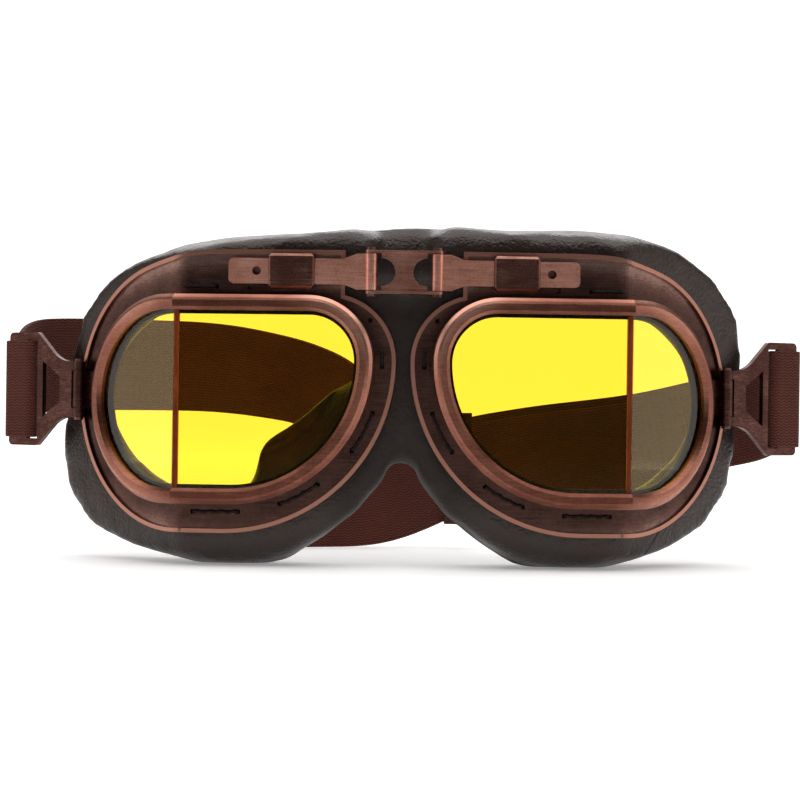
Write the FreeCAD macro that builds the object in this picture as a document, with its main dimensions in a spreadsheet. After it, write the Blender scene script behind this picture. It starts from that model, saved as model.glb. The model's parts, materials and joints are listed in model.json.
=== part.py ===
import FreeCAD
import Part
import Sketcher
import math
import os
from types import SimpleNamespace

V = FreeCAD.Vector
UP = V(0, 0, 1)

# Driving dimensions in millimetres and degrees. X runs across the face, -Y is the front, Z is up.
# The right-hand cup (+X) is drawn flat in the XZ plane, folded at the lens seam and turned about the
# bridge pin. The left-hand cup is its mirror image.
SIZES = dict(
    # rim of the cup, as one flat outline
    rim_nose=7.9,
    rim_bottom=16.8,
    rim_height=55.7,
    nose_low_radius=38.4,
    seam_x=61.2,
    seam_run=4.4,
    bend=36.0,
    wrap=4.0,
    rim_width=4.2,
    rim_wall=1.5,
    rim_depth=6.0,
    rim_lip=2.0,
    rim_bevel=1.15,
    rim_soften=0.4,
    rim_inner_bevel=0.9,
    # lenses and the gasket behind them
    lens_thickness=2.0,
    lens_gap=0.1,
    gasket_show=0.9,
    # eyecup plate behind the rim
    plate_thickness=1.0,
    plate_nose=2.0,
    plate_bottom=9.0,
    plate_low_margin=7.8,
    plate_nose_margin=0.7,
    plate_temple_margin=8.55,
    shelf_start=15.8,
    shelf_end=46.0,
    shelf_rise=12.2,
    plate_lip=1.1,
    plate_lip_height=0.9,
    plate_roll=8.0,
    stitch_gap=2.2,
    stitch_slit=1.2,
    # adjustable bridge
    pin_x=8.8,
    pin_radius=0.75,
    pin_head_radius=1.25,
    pin_head_height=0.7,
    running_gap=0.05,
    seat_gap=0.02,
    slide_gap=0.12,
    knuckle_gap=0.2,
    arm_rise=6.4,
    arm_front=3.4,
    arm_thickness=1.2,
    arm_height=6.8,
    arm_end=46.8,
    arm_round=1.4,
    arm_hole=39.3,
    arm_hole_radius=1.15,
    head_end=12.5,
    head_slope=3.6,
    head_height=9.6,
    head_round=0.6,
    knuckle_radius=1.6,
    keeper_start=23.8,
    keeper_length=12.3,
    keeper_height=9.3,
    keeper_front=2.2,
    keeper_round=0.9,
    keeper_bevel=0.7,
    link_width=12.2,
    link_cut_radius=3.7,
    ear_thickness=0.8,
    # temple hinge and strap buckle
    temple_rise=2.15,
    temple_pin_radius=0.8,
    temple_pin_reach=7.35,
    temple_pin_depth=3.2,
    temple_knuckle_radius=1.7,
    lug_height=10.0,
    lug_gap=0.55,
    lug_thickness=1.3,
    lug_set_back=0.7,
    buckle_angle=30.0,
    buckle_thickness=1.6,
    buckle_root_height=15.4,
    buckle_length=24.0,
    buckle_side=1.95,
    buckle_flare_start=6.0,
    buckle_bar=6.4,
    buckle_slot=3.6,
    buckle_round=1.3,
    flare_round=9.0,
    window_start=6.2,
    window_end=12.2,
    window_root_height=7.0,
    window_end_height=15.6,
    # elastic strap and its adjuster
    strap_width=27.0,
    strap_thickness=1.5,
    strap_gap=0.35,
    strap_span=100.0,
    adjuster_length=8.0,
    adjuster_wall=1.6,
    adjuster_x=17.0,
    adjuster_round=0.7,
    # leather face pad and nose gusset
    pad_gap=0.3,
    pad_x=47.0,
    pad_level=45.2,
    pad_radius=47.0,
    pad_depth=24.0,
    pad_face_rise=13.0,
    pad_side_wall=13.5,
    pad_top_wall=21.5,
    pad_hole_flare=4.5,
    pad_crown=3.2,
    pad_full_share=0.56,
    nose_cheek=9.0,
    nose_clear=0.6,
    nose_angle=13.0,
    gusset_bottom=27.5,
    gusset_top=91.6,
    gusset_front=8.0,
    gusset_thickness=6.5,
    gusset_crown=0.9,
    overrun=1.0,
    reach=240.0,
)

# Pad outline round the eye: angle in degrees from the temple, then shares of pad_radius at the
# plate, at the fullest depth and at the face side.
PAD_STATION_SHARES = (
    (0, 0.93, 1.04, 0.96),
    (14, 0.94, 1.05, 0.97),
    (28, 0.94, 1.05, 0.96),
    (42, 0.91, 1.02, 0.94),
    (56, 0.88, 0.985, 0.91),
    (72, 0.86, 0.965, 0.90),
    (88, 0.86, 0.96, 0.90),
    (104, 0.90, 1.00, 0.94),
    (116, 0.98, 1.085, 1.01),
    (126, 1.10, 1.215, 1.10),
    (133, 1.17, 1.27, 1.14),
    (141, 1.10, 1.18, 1.04),
    (153, 0.98, 1.03, 0.90),
    (166, 0.93, 0.96, 0.81),
    (180, 0.92, 0.95, 0.79),
    (194, 0.91, 0.95, 0.80),
    (208, 0.90, 0.97, 0.84),
    (222, 0.88, 0.965, 0.88),
    (236, 0.87, 0.965, 0.90),
    (250, 0.87, 0.985, 0.92),
    (264, 0.87, 0.983, 0.92),
    (278, 0.87, 0.972, 0.91),
    (292, 0.88, 0.975, 0.91),
    (305, 0.90, 1.02, 0.95),
    (318, 0.93, 1.08, 1.00),
    (332, 0.95, 1.10, 1.02),
    (346, 0.95, 1.07, 0.99),
)
# Straight runs across the outer side and the crown of the pad.
SIDE_CHORDS = 5
CROWN_CHORDS = 4
# Folds that share the bend of the eyecup plate.
ROLL_FOLDS = 6
# Share of nose_cheek by which the face side leans into the eye hollow at a station angle.
CHEEK_SHARES = {141: 0.3, 153: 0.5, 166: 0.8, 180: 1.0, 194: 1.0, 208: 1.0, 222: 0.75, 236: 0.4}

# Stitch holes as shares of each outline run: top line, lower nose arc, bottom line, upper nose arc.
TOP_STITCH_SHARES = (0.40, 0.62, 0.84)
LOW_STITCH_SHARES = (0.04, 0.22, 0.40, 0.60, 0.78, 0.98)
BOTTOM_STITCH_SHARES = (0.50,)
NOSE_STITCH_SHARES = (0.38,)

# Strap routes in plan (x, y) and the height of the strap's middle along x, as shares of strap_span.
RIGHT_PLAN_SHARES = ((1.075, 0.460), (1.07, 0.60), (0.92, 0.70), (0.56, 0.78), (0.22, 0.92), (-0.04, 0.95),
                     (-0.20, 0.93), (-0.36, 0.85))
RIGHT_LEVEL_SHARES = ((1.14, 0.468), (1.00, 0.468), (0.84, 0.37), (0.64, 0.325), (0.16, 0.25), (-0.08, 0.142),
                      (-0.40, 0.142))
LEFT_PLAN_SHARES = ((-1.075, 0.454), (-1.08, 0.60), (-0.95, 0.73), (-0.62, 0.89), (-0.38, 1.07),
                    (-0.18, 1.08), (-0.05, 0.985), (0.24, 0.951))
LEFT_LEVEL_SHARES = ((-1.16, 0.468), (-1.04, 0.468), (-0.86, 0.54), (-0.60, 0.545), (-0.30, 0.495),
                     (-0.14, 0.40), (-0.03, 0.26), (0.28, 0.26))

doc = FreeCAD.newDocument("goggles")
sheet = doc.addObject("Spreadsheet::Sheet", "Sizes")
for row, (alias, number) in enumerate(SIZES.items(), start=1):
    sheet.set(f"A{row}", alias)
    sheet.set(f"B{row}", str(number))
    sheet.setAlias(f"B{row}", alias)
doc.recompute()
size = SimpleNamespace(**{alias: float(sheet.get(alias)) for alias in SIZES})

# Sizes that follow from the driving ones.
rim_top = size.rim_bottom + size.rim_height
nose_level = size.rim_bottom + size.nose_low_radius
nose_high_radius = size.rim_height - size.nose_low_radius
rim_middle = size.rim_bottom + size.rim_height / 2
temple_x = size.seam_x + size.seam_run
plate_low_radius = size.nose_low_radius + size.plate_low_margin
plate_nose_radius = nose_high_radius + size.plate_nose_margin
plate_temple_radius = size.rim_height / 2 + size.plate_temple_margin
shelf_top = rim_top + size.shelf_rise
lens_front = size.rim_lip + size.lens_gap
lens_back = lens_front + size.lens_thickness
plate_back = size.rim_depth + size.plate_thickness
temple_pin_x = temple_x + size.rim_height / 2 + size.temple_pin_reach
buckle_end_height = size.strap_width + 2 * (size.strap_gap + size.buckle_side)
pin_y = size.arm_front + size.arm_thickness / 2
bar_start = size.buckle_length - size.buckle_bar
slot_start = bar_start - size.buckle_slot
loop_radius = size.buckle_thickness / 2 + size.strap_gap + size.strap_thickness / 2
ARM_LEVEL = "(Sizes.rim_bottom + Sizes.rim_height + Sizes.arm_rise)"
TEMPLE_LEVEL = "(Sizes.rim_bottom + Sizes.rim_height / 2 + Sizes.temple_rise)"
TEMPLE_END = "(Sizes.seam_x + Sizes.seam_run + Sizes.rim_height / 2)"
TEMPLE_PIN_X = f"({TEMPLE_END} + Sizes.temple_pin_reach)"
LUG_START = f"({TEMPLE_END} + Sizes.lug_gap)"
BUCKLE_END_HEIGHT = "(Sizes.strap_width + 2 * (Sizes.strap_gap + Sizes.buckle_side))"
KNUCKLE_MIDDLE = "(Sizes.arm_front + Sizes.arm_thickness / 2)"
LINK_HEIGHT = "(Sizes.head_height + 2 * (Sizes.knuckle_gap + Sizes.ear_thickness))"

pieces = {}


def keep(label, made):
    made.Label = label
    pieces[label] = made
    return made


def feature(label, shape, placement=FreeCAD.Placement()):
    made = doc.addObject("Part::Feature", label)
    made.Shape = shape
    made.Placement = placement
    return keep(label, made)


def bind(made, **expressions):
    for name, expression in expressions.items():
        made.setExpression(name.replace("__", "."), expression)
    return made


def box(name, length, width, height, x, y, z):
    made = doc.addObject("Part::Box", name)
    return bind(made, Length=length, Width=width, Height=height, Placement__Base__x=x,
                Placement__Base__y=y, Placement__Base__z=z)


def rod(name, radius, height, x, y, z):
    made = doc.addObject("Part::Cylinder", name)
    return bind(made, Radius=radius, Height=height, Placement__Base__x=x, Placement__Base__y=y,
                Placement__Base__z=z)


def cross_rod(name, radius, height, x, y, z):
    made = rod(name, radius, height, x, y, z)
    made.Placement.Rotation = FreeCAD.Rotation(V(1, 0, 0), -90)
    return made


def fuse(name, members):
    made = doc.addObject("Part::MultiFuse", name)
    made.Shapes = members
    made.Refine = True
    return made


def cut(name, base, tool):
    made = doc.addObject("Part::Cut", name)
    made.Base = base
    made.Tool = tool
    made.Refine = True
    return made


def rounded(name, base, radius, chosen):
    doc.recompute()
    made = doc.addObject("Part::Fillet", name)
    made.Base = base
    made.Edges = [(i, radius, radius) for i, e in enumerate(base.Shape.Edges, start=1) if chosen(e)]
    return made


def chamfered(name, base, width, chosen):
    doc.recompute()
    made = doc.addObject("Part::Chamfer", name)
    made.Base = base
    made.Edges = [(i, width, width) for i, e in enumerate(base.Shape.Edges, start=1) if chosen(e)]
    return made


def mirrored(label, source):
    made = doc.addObject("Part::Mirroring", label)
    made.Source = source
    made.Normal = V(1, 0, 0)
    return keep(label, made)


def direction(edge):
    return edge.tangentAt(edge.FirstParameter)


def line(a, b):
    return Part.LineSegment(a, b).toShape()


def arc(a, middle, b):
    return Part.Arc(a, middle, b).toShape()


def chords(a, middle, b, count):
    # an arc as a few straight runs, so that lofts through it keep few faces
    points = arc(a, middle, b).discretize(count + 1)
    return [line(here, there) for here, there in zip(points, points[1:])]


def on_circle(x, z, radius, angle, depth):
    turn = math.radians(angle)
    return V(x + radius * math.cos(turn), depth, z + radius * math.sin(turn))


def rim_outline(inset, depth):
    # flat rim outline, drawn inwards by the inset: lines and arcs that run into each other smoothly
    high = nose_high_radius - inset
    low = size.nose_low_radius - inset
    end = size.rim_height / 2 - inset
    high_x = size.rim_nose + nose_high_radius
    low_x = size.rim_nose + size.nose_low_radius
    top_nose = on_circle(high_x, nose_level, high, 90, depth)
    top_temple = on_circle(temple_x, rim_middle, end, 90, depth)
    low_temple = on_circle(temple_x, rim_middle, end, -90, depth)
    low_nose = on_circle(low_x, nose_level, low, -90, depth)
    nose = on_circle(low_x, nose_level, low, 180, depth)
    return Part.Wire([
        line(top_nose, top_temple),
        arc(top_temple, on_circle(temple_x, rim_middle, end, 0, depth), low_temple),
        line(low_temple, low_nose),
        arc(low_nose, on_circle(low_x, nose_level, low, 225, depth), nose),
        arc(nose, on_circle(high_x, nose_level, high, 135, depth), top_nose),
    ])


def plate_outline(inset, depth):
    # flat outline of the eyecup plate: the nose arcs, a notch for the bridge hinge, the shelf that
    # carries the bridge arm, a shoulder arc and the temple end
    level = size.plate_bottom + plate_low_radius
    low_x = size.plate_nose + plate_low_radius
    nose_x = size.plate_nose + plate_nose_radius
    temple_z = size.plate_bottom + plate_temple_radius
    rise = shelf_top - temple_z
    run = temple_x - size.shelf_end
    shoulder = (run ** 2 + rise ** 2 - plate_temple_radius ** 2) / (2 * (rise - plate_temple_radius))
    shoulder_z = shelf_top - shoulder
    meet = math.degrees(math.atan2(temple_z - shoulder_z, run))
    low = plate_low_radius - inset
    nose = plate_nose_radius - inset
    end = plate_temple_radius - inset
    notch = size.shelf_start + inset
    notch_angle = math.degrees(math.acos((notch - nose_x) / nose))
    shelf_nose = V(notch, depth, shelf_top - inset)
    shelf_temple = V(size.shelf_end, depth, shelf_top - inset)
    shoulder_point = on_circle(size.shelf_end, shoulder_z, shoulder - inset, (90 + meet) / 2, depth)
    joined = on_circle(temple_x, temple_z, end, meet, depth)
    low_temple = on_circle(temple_x, temple_z, end, -90, depth)
    low_nose = on_circle(low_x, level, low, -90, depth)
    nose_point = on_circle(low_x, level, low, 180, depth)
    notch_point = on_circle(nose_x, level, nose, notch_angle, depth)
    return Part.Wire([
        line(shelf_nose, shelf_temple),
        arc(shelf_temple, shoulder_point, joined),
        arc(joined, on_circle(temple_x, temple_z, end, (meet - 90) / 2, depth), low_temple),
        line(low_temple, low_nose),
        arc(low_nose, on_circle(low_x, level, low, 225, depth), nose_point),
        arc(nose_point, on_circle(nose_x, level, nose, (180 + notch_angle) / 2, depth), notch_point),
        line(notch_point, shelf_nose),
    ])


def slab(outline, inset, front, back):
    return Part.Face(outline(inset, front)).extrude(V(0, back - front, 0))


def half_space(side, gap, x=size.seam_x, angle=size.bend / 2):
    # everything on one side of an upright plane, if not told otherwise the one that halves the bend
    start = x + gap if side == "temple" else x - gap - size.reach
    made = Part.makeBox(size.reach, 2 * size.reach, 2 * size.reach, V(start, -size.reach, -size.reach))
    made.rotate(V(x, 0, 0), UP, angle)
    return made


def bent(shape):
    made = shape.copy()
    made.rotate(V(size.seam_x, 0, 0), UP, size.bend)
    return made


def folded(shape):
    front = shape.common(half_space("nose", 0))
    side = bent(shape).common(half_space("temple", 0))
    return front.fuse(side).removeSplitter()


def rolled(shape):
    # bent in small equal folds about the lens seam that end on the same plane as one sharp fold
    step = size.bend / ROLL_FOLDS
    width = size.plate_roll / (ROLL_FOLDS - 1)
    rise = sum(math.sin(math.radians(step * fold)) for fold in range(1, ROLL_FOLDS))
    first = size.seam_x - width * rise / math.sin(math.radians(size.bend))
    creases = [first + width * fold for fold in range(ROLL_FOLDS)]
    strips = []
    for index in range(ROLL_FOLDS + 1):
        strip = shape.copy()
        if index < ROLL_FOLDS:
            strip = strip.common(half_space("nose", 0, creases[index], step / 2))
        if index > 0:
            strip = strip.common(half_space("temple", 0, creases[index - 1], -step / 2))
        for crease in reversed(creases[:index]):
            strip.rotate(V(crease, 0, 0), UP, step)
        strips.append(strip)
    return strips[0].fuse(strips[1:]).removeSplitter()


wrap_turn = FreeCAD.Placement(V(0, 0, 0), FreeCAD.Rotation(UP, size.wrap), V(size.pin_x, pin_y, 0))
bend_turn = FreeCAD.Placement(V(0, 0, 0), FreeCAD.Rotation(UP, size.bend), V(size.seam_x, 0, 0))
side_turn = wrap_turn.multiply(bend_turn)


def front_edges(shape, inset):
    # edges of the front face that lie on the rim outline drawn inwards by the inset
    trace = rim_outline(inset, 0)
    return [e for e in shape.Edges if max(v.distToShape(trace)[0] for v in e.Vertexes) < size.seat_gap]


def rim():
    # one bent ring with a softened bevel outside and a plain one inside; its front lip holds the
    # lenses in a rebate
    ring = slab(rim_outline, 0, 0, size.rim_depth)
    ring = ring.cut(slab(rim_outline, size.rim_width, -size.overrun, size.rim_depth + size.overrun))
    ring = ring.makeChamfer(size.rim_inner_bevel, front_edges(ring, size.rim_width))
    ring = ring.makeChamfer(size.rim_bevel, front_edges(ring, 0))
    ring = ring.makeChamfer(size.rim_soften, front_edges(ring, size.rim_bevel))
    ring = ring.cut(slab(rim_outline, size.rim_wall, size.rim_lip, size.rim_depth + size.overrun))
    return feature("right_rim", folded(ring), wrap_turn)


def lenses():
    blank = slab(rim_outline, size.rim_wall + size.lens_gap, lens_front, lens_back)
    feature("right_front_lens", blank.common(half_space("nose", size.lens_gap)), wrap_turn)
    feature("right_side_lens", bent(blank).common(half_space("temple", size.lens_gap)), wrap_turn)


def gasket():
    ring = slab(rim_outline, size.rim_wall + size.lens_gap, lens_back, size.rim_depth)
    hole = slab(rim_outline, size.rim_width + size.gasket_show, lens_back - size.overrun, plate_back)
    return feature("right_lens_gasket", folded(ring.cut(hole)), wrap_turn)


def stitch_points():
    edges = rim_outline(-size.stitch_gap, 0).Edges
    runs = {0: TOP_STITCH_SHARES, 2: BOTTOM_STITCH_SHARES, 3: LOW_STITCH_SHARES, 4: NOSE_STITCH_SHARES}
    for index, shares in runs.items():
        edge = edges[index]
        span = edge.LastParameter - edge.FirstParameter
        for share in shares:
            yield edge.valueAt(edge.FirstParameter + share * span)


def eyecup():
    # thin plate with a raised edge, open behind the lenses and pierced for the stitching
    plate = slab(plate_outline, 0, size.rim_depth, plate_back)
    edge = slab(plate_outline, 0, size.rim_depth - size.plate_lip_height, size.rim_depth)
    edge = edge.cut(slab(plate_outline, size.plate_lip, 0, size.rim_depth + size.overrun))
    plate = plate.fuse(edge).removeSplitter()
    plate = plate.cut(slab(rim_outline, size.rim_width, 0, plate_back + size.overrun))
    length = size.plate_thickness + 2 * size.overrun
    slit = size.stitch_slit
    for point in stitch_points():
        start = V(point.x - slit / 2, size.rim_depth - size.overrun, point.z - slit / 2)
        plate = plate.cut(Part.makeBox(slit, length, slit, start))
    return feature("right_eyecup", rolled(plate), wrap_turn)


def pad_section(station, front):
    # one section of the cushion in the plane through the eye axis: flat front, full outer side,
    # crowned face side and an inner wall that opens towards the face
    angle, plate_share, full_share, face_share = station
    turn = math.radians(angle)
    across, up = math.cos(turn), math.sin(turn)

    def at(radius, depth):
        return V(size.pad_x + radius * across, depth, size.pad_level + radius * up)

    hole = 1 / math.hypot(across / (size.pad_radius - size.pad_side_wall),
                          up / (size.pad_radius - size.pad_top_wall))
    spread = size.pad_radius * full_share * across
    temple_share = max(0, (size.pad_x + spread) / (size.pad_x + size.pad_radius))
    face = plate_back + size.pad_depth + size.pad_face_rise * temple_share ** 2
    start = front * temple_share ** 4
    cheek = size.nose_cheek * CHEEK_SHARES.get(angle, 0)
    face_hole = hole + size.pad_hole_flare - cheek
    face_out = size.pad_radius * face_share
    outer_front = at(size.pad_radius * plate_share, start)
    outer_face = at(face_out, face - size.pad_crown)
    inner_face = at(face_hole, face - size.pad_crown)
    inner_front = at(hole, start)
    behind = start + plate_back
    full = at(size.pad_radius * full_share, behind + size.pad_full_share * (face - behind))
    crown = at((face_hole + face_out) / 2, face)
    return Part.Wire([
        line(inner_front, outer_front),
        *chords(outer_front, full, outer_face, SIDE_CHORDS),
        *chords(outer_face, crown, inner_face, CROWN_CHORDS),
        line(inner_face, inner_front),
    ])


def nose_wedge():
    # space kept free beside the middle plane so that the two halves can fold towards each other
    made = Part.makeBox(size.reach, 2 * size.reach, 2 * size.reach,
                        V(size.nose_clear - size.reach, -size.reach, -size.reach))
    made.rotate(V(size.nose_clear, 0, 0), UP, -size.nose_angle)
    return made


def face_pad():
    front = math.sin(math.radians(size.bend)) * (size.pad_x + size.pad_radius - size.seam_x)
    sections = [pad_section(station, front) for station in PAD_STATION_SHARES]
    cushion = Part.makeLoft(sections + sections[:1], True, True)
    room = plate_back + size.pad_gap
    ahead = Part.makeBox(size.reach, size.reach + room, 2 * size.reach, V(0, -size.reach, -size.reach))
    cushion = cushion.cut(rolled(ahead))
    cushion.Placement = wrap_turn.multiply(cushion.Placement)
    cushion = cushion.cut(nose_wedge())
    floor = Part.makeBox(2 * size.reach, 2 * size.reach, size.reach, V(-size.reach, -size.reach, -size.reach))
    return feature("right_face_pad", cushion.cut(floor))


def plane_of(body, role):
    return next(o for o in body.Origin.OriginFeatures if o.Role == role)


def mirrored_polygon(body, name, corners):
    # closed sketch on the XZ plane whose corners (x, half height) repeat below the X axis
    sketch = body.newObject("Sketcher::SketchObject", name)
    sketch.AttachmentSupport = (plane_of(body, "XZ_Plane"), "")
    sketch.MapMode = "FlatFace"
    ring = list(corners) + [(x, f"-({z})") for x, z in reversed(corners)]
    doc.recompute()
    points = [V(sheet_value(x), sheet_value(z), 0) for x, z in ring]
    for here, there in zip(points, points[1:] + points[:1]):
        sketch.addGeometry(Part.LineSegment(here, there))
    for index, (x, z) in enumerate(ring):
        before = (index - 1) % len(ring)
        sketch.addConstraint(Sketcher.Constraint("Coincident", before, 2, index, 1))
    for index, (x, z) in enumerate(ring):
        spot = points[index]
        for kind, expression, number in (("DistanceX", x, spot.x), ("DistanceY", z, spot.y)):
            made = sketch.addConstraint(Sketcher.Constraint(kind, -1, 1, index, 1, number))
            sketch.setExpression(f"Constraints[{made}]", expression)
    return sketch


def sheet_value(expression):
    return float(sheet.evalExpression(expression.replace("Sizes.", "")))


def keeper():
    body = box("keeper_body", "Sizes.keeper_length", "Sizes.rim_depth - Sizes.keeper_front",
               "Sizes.keeper_height", "Sizes.keeper_start", "Sizes.keeper_front",
               f"{ARM_LEVEL} - Sizes.keeper_height / 2")

    def in_front(edge):
        return max(v.Y for v in edge.Vertexes) < size.keeper_front + size.seat_gap

    def front_ends(edge):
        return in_front(edge) and abs(direction(edge).z) > 0.5

    def front_sides(edge):
        return in_front(edge) and abs(direction(edge).x) > 0.5

    body = rounded("keeper_domed", body, size.keeper_round, front_ends)
    body = chamfered("keeper_bevelled", body, size.keeper_bevel, front_sides)
    channel = box("keeper_channel", "Sizes.keeper_length + 2 * Sizes.overrun",
                  "Sizes.arm_thickness + 2 * Sizes.slide_gap", "Sizes.arm_height + 2 * Sizes.slide_gap",
                  "Sizes.keeper_start - Sizes.overrun", "Sizes.arm_front - Sizes.slide_gap",
                  f"{ARM_LEVEL} - Sizes.arm_height / 2 - Sizes.slide_gap")
    made = cut("keeper_cut", body, channel)
    made.Placement = wrap_turn
    return keep("right_bridge_keeper", made)


def arm():
    # flat strip whose head widens in two slopes to the knuckle
    body = doc.addObject("PartDesign::Body", "arm_body")
    flat = body.newObject("PartDesign::Pad", "arm_flat")
    flat.Profile = mirrored_polygon(body, "arm_outline", (
        ("Sizes.pin_x", "Sizes.head_height / 2"),
        ("Sizes.head_end", "Sizes.head_height / 2"),
        ("Sizes.head_end + Sizes.head_slope", "Sizes.arm_height / 2"),
        ("Sizes.arm_end", "Sizes.arm_height / 2"),
    ))
    flat.Midplane = True
    bind(flat, Length="Sizes.arm_thickness")
    bind(body, Placement__Base__y=KNUCKLE_MIDDLE, Placement__Base__z=ARM_LEVEL)

    def at(edge, x):
        return abs(direction(edge).y) > 0.5 and abs(edge.Vertexes[0].X - x) < size.seat_gap

    flat = rounded("arm_shoulders", body, size.head_round,
                   lambda e: at(e, size.head_end) or at(e, size.head_end + size.head_slope))
    flat = rounded("arm_tip", flat, size.arm_round, lambda e: at(e, size.arm_end))
    knuckle = rod("arm_knuckle", "Sizes.knuckle_radius", "Sizes.head_height", "Sizes.pin_x",
                  KNUCKLE_MIDDLE, f"{ARM_LEVEL} - Sizes.head_height / 2")
    solid = fuse("arm_solid", [flat, knuckle])
    bore = rod("arm_bore", "Sizes.pin_radius + Sizes.running_gap", "Sizes.head_height + 2 * Sizes.overrun",
               "Sizes.pin_x", KNUCKLE_MIDDLE,
               f"{ARM_LEVEL} - Sizes.head_height / 2 - Sizes.overrun")
    hole = cross_rod("arm_hole", "Sizes.arm_hole_radius", "Sizes.arm_thickness + 2 * Sizes.overrun",
                     "Sizes.arm_hole", "Sizes.arm_front - Sizes.overrun", ARM_LEVEL)
    made = cut("arm_cut", solid, fuse("arm_holes", [bore, hole]))
    made.Placement = wrap_turn
    return keep("right_bridge_arm", made)


def link():
    # hourglass plate with an ear above and below that reach over both arm knuckles
    plate = box("link_plate", "Sizes.link_width", "Sizes.arm_thickness", LINK_HEIGHT, "-Sizes.link_width / 2",
                "Sizes.arm_front", f"{ARM_LEVEL} - {LINK_HEIGHT} / 2")
    levels = {"low": f"{ARM_LEVEL} - {LINK_HEIGHT} / 2",
              "high": f"{ARM_LEVEL} + {LINK_HEIGHT} / 2 - Sizes.ear_thickness"}
    sides = {"left": "-Sizes.pin_x", "right": "Sizes.pin_x"}
    solids = [plate]
    for level, z in levels.items():
        solids.append(box(f"ear_{level}", "2 * Sizes.pin_x", "2 * Sizes.knuckle_radius",
                          "Sizes.ear_thickness", "-Sizes.pin_x",
                          f"{KNUCKLE_MIDDLE} - Sizes.knuckle_radius", z))
        for side, x in sides.items():
            solids.append(rod(f"ear_{level}_{side}", "Sizes.knuckle_radius", "Sizes.ear_thickness", x,
                              KNUCKLE_MIDDLE, z))
    holes = []
    for side, x in sides.items():
        holes.append(rod(f"ear_bore_{side}", "Sizes.pin_radius + Sizes.seat_gap",
                         f"{LINK_HEIGHT} + 2 * Sizes.overrun", x, KNUCKLE_MIDDLE,
                         f"{ARM_LEVEL} - {LINK_HEIGHT} / 2 - Sizes.overrun"))
        holes.append(cross_rod(f"link_waist_{side}", "Sizes.link_cut_radius",
                               "Sizes.arm_thickness + 2 * Sizes.overrun",
                               x.replace("pin_x", "link_width / 2"), "Sizes.arm_front - Sizes.overrun",
                               ARM_LEVEL))
    return keep("bridge_link", cut("link_cut", fuse("link_solid", solids), fuse("link_holes", holes)))


def headed_pin(label, radius, head_radius, length, x, y, z):
    # straight pin with a flat head at both ends, its shank centred on z
    shank = rod(f"{label}_shank", radius, length, x, y, f"{z} - ({length}) / 2")
    heads = [rod(f"{label}_foot", head_radius, "Sizes.pin_head_height", x, y,
                 f"{z} - ({length}) / 2 - Sizes.pin_head_height"),
             rod(f"{label}_top", head_radius, "Sizes.pin_head_height", x, y, f"{z} + ({length}) / 2")]
    return fuse(f"{label}_solid", [shank] + heads)


def bridge_pin():
    length = f"{LINK_HEIGHT} + 2 * Sizes.seat_gap"
    made = headed_pin("bridge_pin", "Sizes.pin_radius", "Sizes.pin_head_radius", length, "Sizes.pin_x",
                      KNUCKLE_MIDDLE, ARM_LEVEL)
    return keep("right_bridge_pin", made)


def temple_lug():
    low = f"{TEMPLE_LEVEL} - Sizes.lug_height / 2"
    foot = box("lug_foot", f"{TEMPLE_PIN_X} - Sizes.lug_set_back - {LUG_START}",
               "Sizes.lug_thickness", "Sizes.lug_height", LUG_START,
               "Sizes.rim_depth - Sizes.lug_thickness", low)
    web = box("lug_web", "Sizes.temple_knuckle_radius - Sizes.lug_set_back",
              "Sizes.rim_depth - Sizes.temple_pin_depth", "Sizes.lug_height",
              f"{TEMPLE_PIN_X} - Sizes.temple_knuckle_radius", "Sizes.temple_pin_depth", low)
    knuckle = rod("lug_knuckle", "Sizes.temple_knuckle_radius", "Sizes.lug_height", TEMPLE_PIN_X,
                  "Sizes.temple_pin_depth", low)
    bore = rod("lug_bore", "Sizes.temple_pin_radius + Sizes.seat_gap", "Sizes.lug_height + 2 * Sizes.overrun",
               TEMPLE_PIN_X, "Sizes.temple_pin_depth", f"{low} - Sizes.overrun")
    made = cut("lug_cut", fuse("lug_solid", [foot, web, knuckle]), bore)
    made.Placement = side_turn
    return keep("right_temple_lug", made)


def temple_pin():
    made = headed_pin("temple_pin", "Sizes.temple_pin_radius", "Sizes.pin_head_radius",
                      "Sizes.buckle_root_height + 2 * Sizes.seat_gap", TEMPLE_PIN_X,
                      "Sizes.temple_pin_depth", TEMPLE_LEVEL)
    made.Placement = side_turn
    return keep("right_temple_pin", made)


def buckle_plate():
    body = doc.addObject("PartDesign::Body", "buckle_body")
    outline = mirrored_polygon(body, "buckle_outline", (
        ("0", "Sizes.buckle_root_height / 2"),
        ("Sizes.buckle_flare_start", "Sizes.buckle_root_height / 2"),
        ("Sizes.buckle_length - Sizes.buckle_bar - Sizes.buckle_slot", f"{BUCKLE_END_HEIGHT} / 2"),
        ("Sizes.buckle_length", f"{BUCKLE_END_HEIGHT} / 2"),
    ))
    plate = body.newObject("PartDesign::Pad", "buckle_plate")
    plate.Profile = outline
    plate.Midplane = True
    bind(plate, Length="Sizes.buckle_thickness")
    slot_half = "Sizes.strap_width / 2 + Sizes.strap_gap"
    holes = {
        "buckle_window": (("Sizes.window_start", "Sizes.window_root_height / 2"),
                          ("Sizes.window_end", "Sizes.window_end_height / 2")),
        "buckle_slot": (("Sizes.buckle_length - Sizes.buckle_bar - Sizes.buckle_slot", slot_half),
                        ("Sizes.buckle_length - Sizes.buckle_bar", slot_half)),
    }
    for name, corners in holes.items():
        pocket = body.newObject("PartDesign::Pocket", name)
        pocket.Profile = mirrored_polygon(body, f"{name}_outline", corners)
        pocket.Midplane = True
        pocket.Type = "ThroughAll"
    return body


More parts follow.
